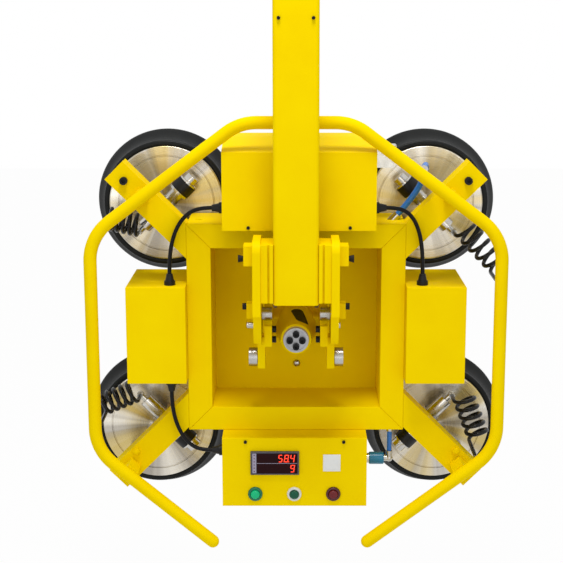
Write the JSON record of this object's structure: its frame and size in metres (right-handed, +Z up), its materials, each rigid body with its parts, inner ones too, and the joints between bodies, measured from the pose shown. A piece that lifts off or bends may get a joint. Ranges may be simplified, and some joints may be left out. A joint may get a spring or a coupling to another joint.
{
  "type": "glass panel vacuum lifter",
  "caption": "Electric vacuum glass lifter with suction pads on a turning, tilting yellow frame, a bent tube handle and a square mast with a lifting eye.",
  "frame": {"origin": "centre of the lifting eye", "axes": "+Z up along the mast, +Y away from the operator towards the glass, +X to the operator's right"},
  "size_m": [0.882, 0.392, 1.2915],
  "materials": {
    "yellow_paint": "gloss",
    "bright_steel": "machined",
    "black_screw": "black oxide",
    "black_plastic": "matte",
    "bronze": "machined",
    "grey_disc": "satin",
    "turned_aluminium": "turned",
    "black_rubber": "matte",
    "hose_black": "gloss",
    "lead_black": "matte",
    "nickel": "bright",
    "blue_tube": "gloss",
    "teal_coupler": "gloss",
    "meter_grey": "matte",
    "button_green": "gloss",
    "button_white": "gloss",
    "button_red": "gloss"
  },
  "bodies": {
    "mast": {"mast_tube": "yellow_paint", "hanger_arm": "yellow_paint", "lifting_lug": "yellow_paint", "fork_plates": "yellow_paint", "fork_blocks": "yellow_paint", "tilt_pins": "bright_steel", "mast_screws": "black_screw"},
    "tilt_head": {"hub_housing": "yellow_paint", "hub_bushes": "bronze", "tilt_lugs": "yellow_paint", "head_bosses": "bright_steel", "head_screws": "black_screw"},
    "plunger_left": {"plunger_left": "black_plastic"},
    "plunger_right": {"plunger_right": "black_plastic"},
    "lock_pin": {"tilt_lock_pin": "bright_steel"},
    "button_green": {"button_green": "button_green"},
    "button_white": {"button_white": "button_white"},
    "button_red": {"button_red": "button_red"},
    "valve_sleeve_upper_left": {"valve_sleeve_upper_left": "turned_aluminium"},
    "valve_sleeve_upper_right": {"valve_sleeve_upper_right": "turned_aluminium"},
    "valve_sleeve_lower_left": {"valve_sleeve_lower_left": "turned_aluminium"},
    "valve_sleeve_lower_right": {"valve_sleeve_lower_right": "turned_aluminium"},
    "pad_frame": {"frame_top": "yellow_paint", "frame_bottom": "yellow_paint", "frame_left": "yellow_paint", "frame_right": "yellow_paint", "back_plate": "yellow_paint", "pad_arms": "yellow_paint", "handle_bar": "yellow_paint", "handle_posts": "yellow_paint", "pump_cover": "yellow_paint", "battery_boxes": "yellow_paint", "battery_lids": "yellow_paint", "control_box": "yellow_paint", "control_panel": "yellow_paint", "spindle": "bright_steel", "pad_mounts": "bright_steel", "vacuum_pump": "bright_steel", "frame_screws": "black_screw", "cable_glands": "black_plastic", "batteries": "black_plastic", "end_disc": "grey_disc", "pad_plates": "turned_aluminium", "valve_bodies": "turned_aluminium", "pad_seal_upper_left": "black_rubber", "pad_seal_upper_right": "black_rubber", "pad_seal_lower_left": "black_rubber", "pad_seal_lower_right": "black_rubber", "coil_hose_upper_left": "hose_black", "coil_hose_upper_right": "hose_black", "coil_hose_lower_left": "hose_black", "coil_hose_lower_right": "hose_black", "battery_lead_left": "lead_black", "battery_lead_right": "lead_black", "control_lead": "lead_black", "hose_fittings": "nickel", "button_bezels": "nickel", "vacuum_tubes": "blue_tube", "sensor_coupler": "teal_coupler", "panel_meter": "meter_grey"}
  },
  "joints": [
    {"name": "tilt", "type": "hinge", "parent": "mast", "child": "tilt_head", "pos_m": [0, -0.113, -0.77], "axis": [-1, 0, 0], "range_deg": [0, 90]},
    {"name": "turn", "type": "hinge", "parent": "tilt_head", "child": "pad_frame", "pos_m": [0, -0.038, -0.818], "axis": [0, 1, 0], "continuous": true},
    {"name": "lock_slide", "type": "slide", "parent": "mast", "child": "lock_pin", "axis": [1, 0, 0], "range_m": [0, 0.014]},
    {"name": "plunger_left_pull", "type": "slide", "parent": "mast", "child": "plunger_left", "axis": [-1, 0, 0], "range_m": [0, 0.009], "stiffness_N_per_m": 800},
    {"name": "plunger_right_pull", "type": "slide", "parent": "mast", "child": "plunger_right", "axis": [1, 0, 0], "range_m": [0, 0.009], "stiffness_N_per_m": 800},
    {"name": "press_green", "type": "slide", "parent": "pad_frame", "child": "button_green", "axis": [0, 1, 0], "range_m": [0, 0.003], "stiffness_N_per_m": 800},
    {"name": "press_white", "type": "slide", "parent": "pad_frame", "child": "button_white", "axis": [0, 1, 0], "range_m": [0, 0.003], "stiffness_N_per_m": 800},
    {"name": "press_red", "type": "slide", "parent": "pad_frame", "child": "button_red", "axis": [0, 1, 0], "range_m": [0, 0.003], "stiffness_N_per_m": 800},
    {"name": "valve_upper_left", "type": "slide", "parent": "pad_frame", "child": "valve_sleeve_upper_left", "axis": [0.7071, 0, 0.7071], "range_m": [0, 0.01]},
    {"name": "valve_upper_right", "type": "slide", "parent": "pad_frame", "child": "valve_sleeve_upper_right", "axis": [-0.7071, 0, 0.7071], "range_m": [0, 0.01]},
    {"name": "valve_lower_left", "type": "slide", "parent": "pad_frame", "child": "valve_sleeve_lower_left", "axis": [0.7071, 0, -0.7071], "range_m": [0, 0.01]},
    {"name": "valve_lower_right", "type": "slide", "parent": "pad_frame", "child": "valve_sleeve_lower_right", "axis": [-0.7071, 0, -0.7071], "range_m": [0, 0.01]}
  ]
}
